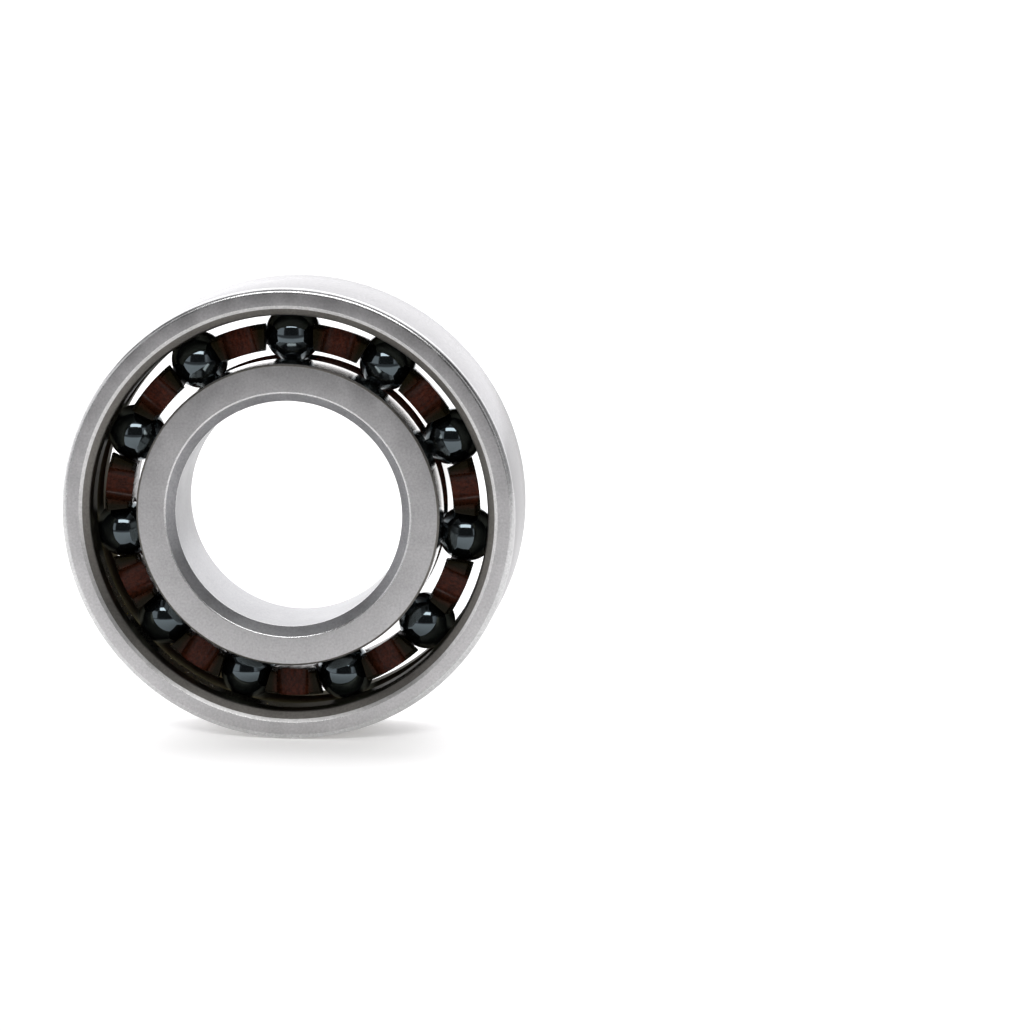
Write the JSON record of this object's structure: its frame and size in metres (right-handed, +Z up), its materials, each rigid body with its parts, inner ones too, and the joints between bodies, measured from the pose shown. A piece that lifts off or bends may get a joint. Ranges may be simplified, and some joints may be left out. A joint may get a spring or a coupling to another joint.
{
  "type": "ball bearing",
  "caption": "Open deep-groove ball bearing: steel outer and inner rings, glossy black ceramic balls and a one-piece dark brown crown cage.",
  "frame": {"origin": "centre of the bearing: on the shaft axis, midway between the two side faces", "axes": "+Y is the shaft axis and points away from the open side of the cage, so the claws face -Y; +Z is up with the bearing standing on its rim; +X completes the right-handed frame"},
  "size_m": [0.024, 0.006, 0.024],
  "materials": {
    "ring_steel": "ground satin",
    "ball_ceramic": "polished glossy",
    "cage_polymer": "moulded semi-matte"
  },
  "bodies": {
    "outer": {"outer_ring": "ring_steel"},
    "inner": {"inner_ring": "ring_steel"},
    "separator": {"cage": "cage_polymer"},
    "ball_01_body": {"ball_01": "ball_ceramic"},
    "ball_02_body": {"ball_02": "ball_ceramic"},
    "ball_03_body": {"ball_03": "ball_ceramic"},
    "ball_04_body": {"ball_04": "ball_ceramic"},
    "ball_05_body": {"ball_05": "ball_ceramic"},
    "ball_06_body": {"ball_06": "ball_ceramic"},
    "ball_07_body": {"ball_07": "ball_ceramic"},
    "ball_08_body": {"ball_08": "ball_ceramic"},
    "ball_09_body": {"ball_09": "ball_ceramic"},
    "ball_10_body": {"ball_10": "ball_ceramic"},
    "ball_11_body": {"ball_11": "ball_ceramic"}
  },
  "joints": [
    {"name": "inner_spin", "type": "hinge", "parent": "outer", "child": "inner", "pos_m": [0, 0, 0], "axis": [0, 1, 0], "continuous": true},
    {"name": "cage_orbit", "type": "hinge", "parent": "outer", "child": "separator", "pos_m": [0, 0, 0], "axis": [0, 1, 0], "continuous": true},
    {"name": "ball_01_spin", "type": "hinge", "parent": "separator", "child": "ball_01_body", "pos_m": [-0.00003, 0, 0.00925], "axis": [0, 1, 0], "continuous": true},
    {"name": "ball_02_spin", "type": "hinge", "parent": "separator", "child": "ball_02_body", "pos_m": [-0.00503, 0, 0.00776], "axis": [0, 1, 0], "continuous": true},
    {"name": "ball_03_spin", "type": "hinge", "parent": "separator", "child": "ball_03_body", "pos_m": [-0.00843, 0, 0.00381], "axis": [0, 1, 0], "continuous": true},
    {"name": "ball_04_spin", "type": "hinge", "parent": "separator", "child": "ball_04_body", "pos_m": [-0.00915, 0, -0.00135], "axis": [0, 1, 0], "continuous": true},
    {"name": "ball_05_spin", "type": "hinge", "parent": "separator", "child": "ball_05_body", "pos_m": [-0.00697, 0, -0.00608], "axis": [0, 1, 0], "continuous": true},
    {"name": "ball_06_spin", "type": "hinge", "parent": "separator", "child": "ball_06_body", "pos_m": [-0.00258, 0, -0.00888], "axis": [0, 1, 0], "continuous": true},
    {"name": "ball_07_spin", "type": "hinge", "parent": "separator", "child": "ball_07_body", "pos_m": [0.00264, 0, -0.00887], "axis": [0, 1, 0], "continuous": true},
    {"name": "ball_08_spin", "type": "hinge", "parent": "separator", "child": "ball_08_body", "pos_m": [0.00701, 0, -0.00603], "axis": [0, 1, 0], "continuous": true},
    {"name": "ball_09_spin", "type": "hinge", "parent": "separator", "child": "ball_09_body", "pos_m": [0.00916, 0, -0.00128], "axis": [0, 1, 0], "continuous": true},
    {"name": "ball_10_spin", "type": "hinge", "parent": "separator", "child": "ball_10_body", "pos_m": [0.0084, 0, 0.00387], "axis": [0, 1, 0], "continuous": true},
    {"name": "ball_11_spin", "type": "hinge", "parent": "separator", "child": "ball_11_body", "pos_m": [0.00497, 0, 0.0078], "axis": [0, 1, 0], "continuous": true}
  ],
  "couplings": [
    {"joint": "cage_orbit", "follows": "inner_spin", "ratio": 0.41892},
    {"joint": "ball_01_spin", "follows": "inner_spin", "ratio": -3.0023},
    {"joint": "ball_02_spin", "follows": "inner_spin", "ratio": -3.0023},
    {"joint": "ball_03_spin", "follows": "inner_spin", "ratio": -3.0023},
    {"joint": "ball_04_spin", "follows": "inner_spin", "ratio": -3.0023},
    {"joint": "ball_05_spin", "follows": "inner_spin", "ratio": -3.0023},
    {"joint": "ball_06_spin", "follows": "inner_spin", "ratio": -3.0023},
    {"joint": "ball_07_spin", "follows": "inner_spin", "ratio": -3.0023},
    {"joint": "ball_08_spin", "follows": "inner_spin", "ratio": -3.0023},
    {"joint": "ball_09_spin", "follows": "inner_spin", "ratio": -3.0023},
    {"joint": "ball_10_spin", "follows": "inner_spin", "ratio": -3.0023},
    {"joint": "ball_11_spin", "follows": "inner_spin", "ratio": -3.0023}
  ]
}
